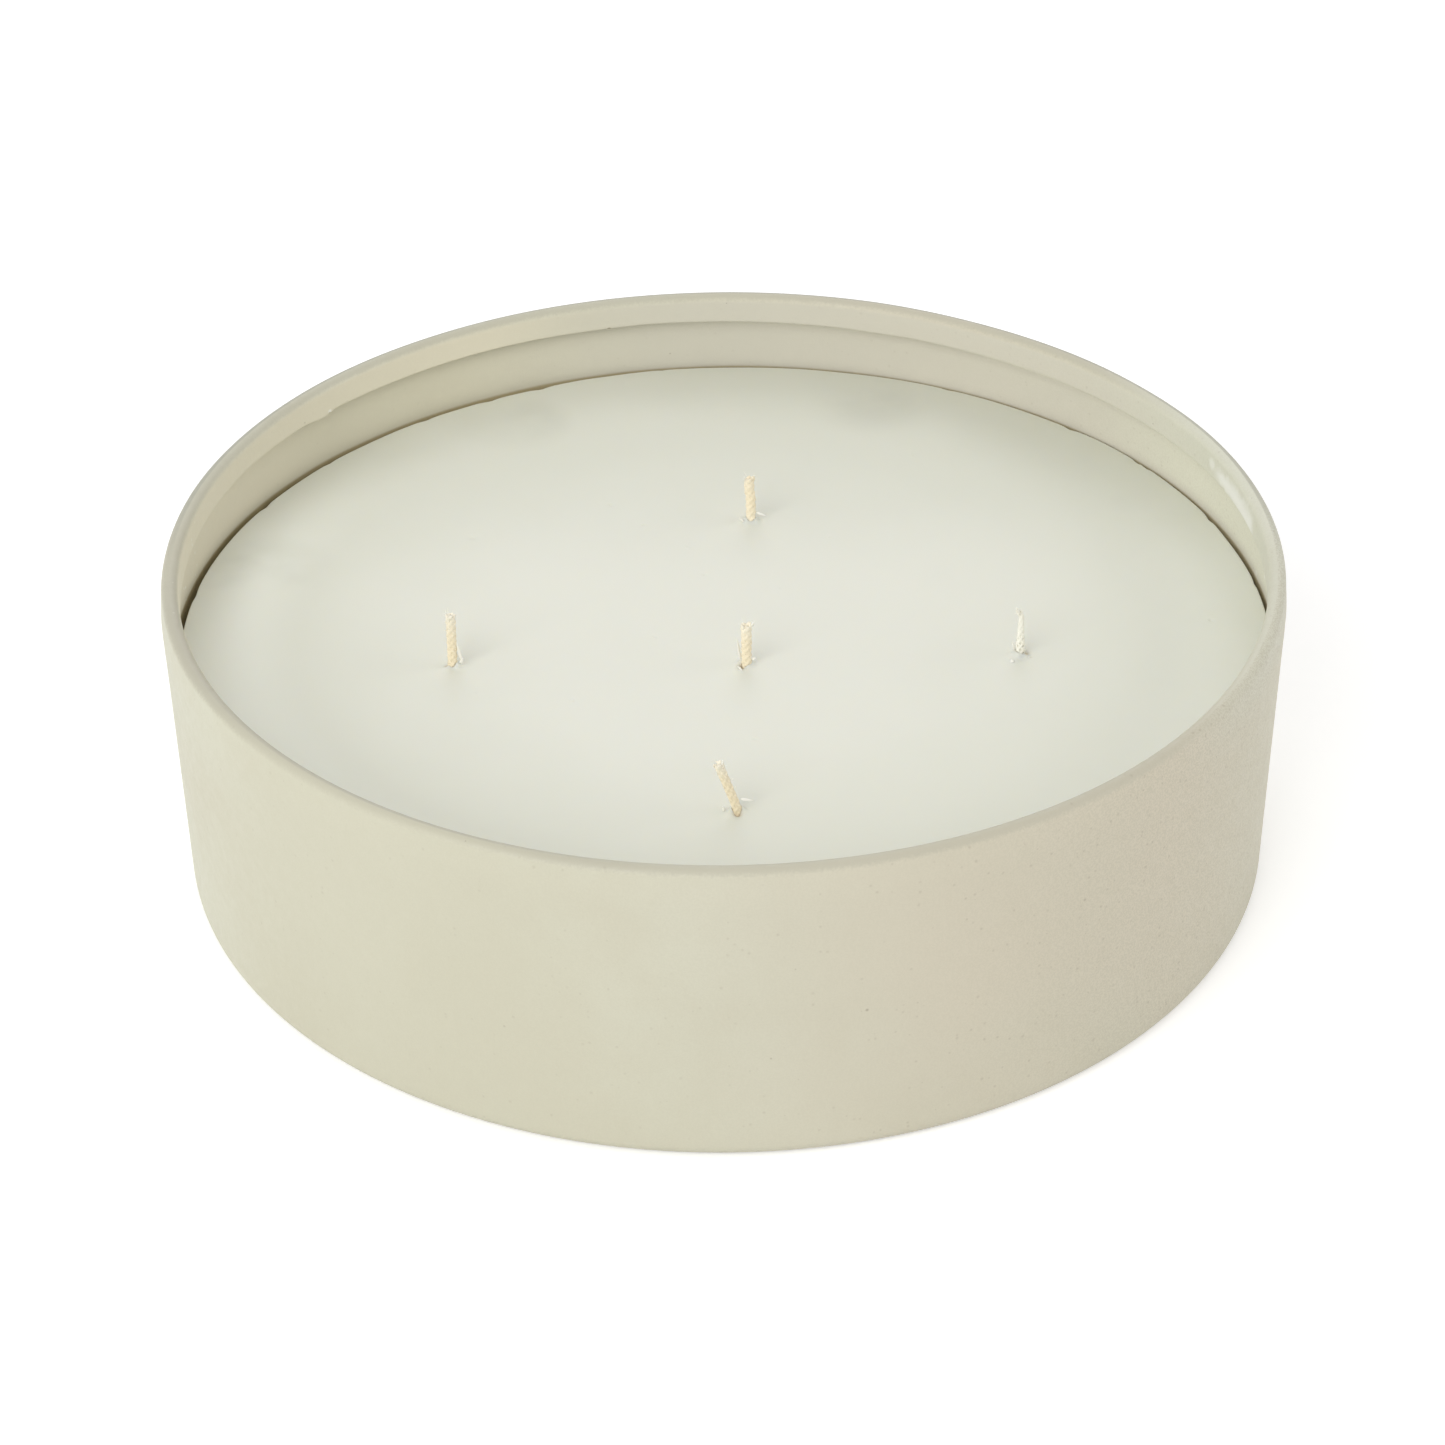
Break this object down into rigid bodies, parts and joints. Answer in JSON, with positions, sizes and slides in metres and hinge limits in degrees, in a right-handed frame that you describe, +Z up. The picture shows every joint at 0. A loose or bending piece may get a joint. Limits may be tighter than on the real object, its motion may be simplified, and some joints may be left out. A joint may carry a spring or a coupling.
{
  "type": "metal container candle",
  "caption": "Wide, shallow candle: off-white wax in a round powder-coated metal bowl with a folded rim, lit by a cross of braided cotton wicks.",
  "frame": {"origin": "middle of the underside, on the surface that the bowl stands on", "axes": "+Z up through the open top, -Y towards the front, +X to the right"},
  "size_m": [0.25, 0.25, 0.074],
  "materials": {
    "powder_coat": "matt powder coat, fine grain",
    "wax": "satin wax",
    "wick_cotton": "waxed braided cotton",
    "tab_steel": "bright tinned sheet",
    "dot_adhesive": "matt foam adhesive"
  },
  "bodies": {
    "root": {"bowl": "powder_coat", "wax": "wax", "wick_back": "wick_cotton", "wick_left": "wick_cotton", "wick_middle": "wick_cotton", "wick_right": "wick_cotton", "wick_front": "wick_cotton", "tab_back": "tab_steel", "tab_left": "tab_steel", "tab_middle": "tab_steel", "tab_right": "tab_steel", "tab_front": "tab_steel", "dot_back": "dot_adhesive", "dot_left": "dot_adhesive", "dot_middle": "dot_adhesive", "dot_right": "dot_adhesive", "dot_front": "dot_adhesive"}
  },
  "joints": []
}
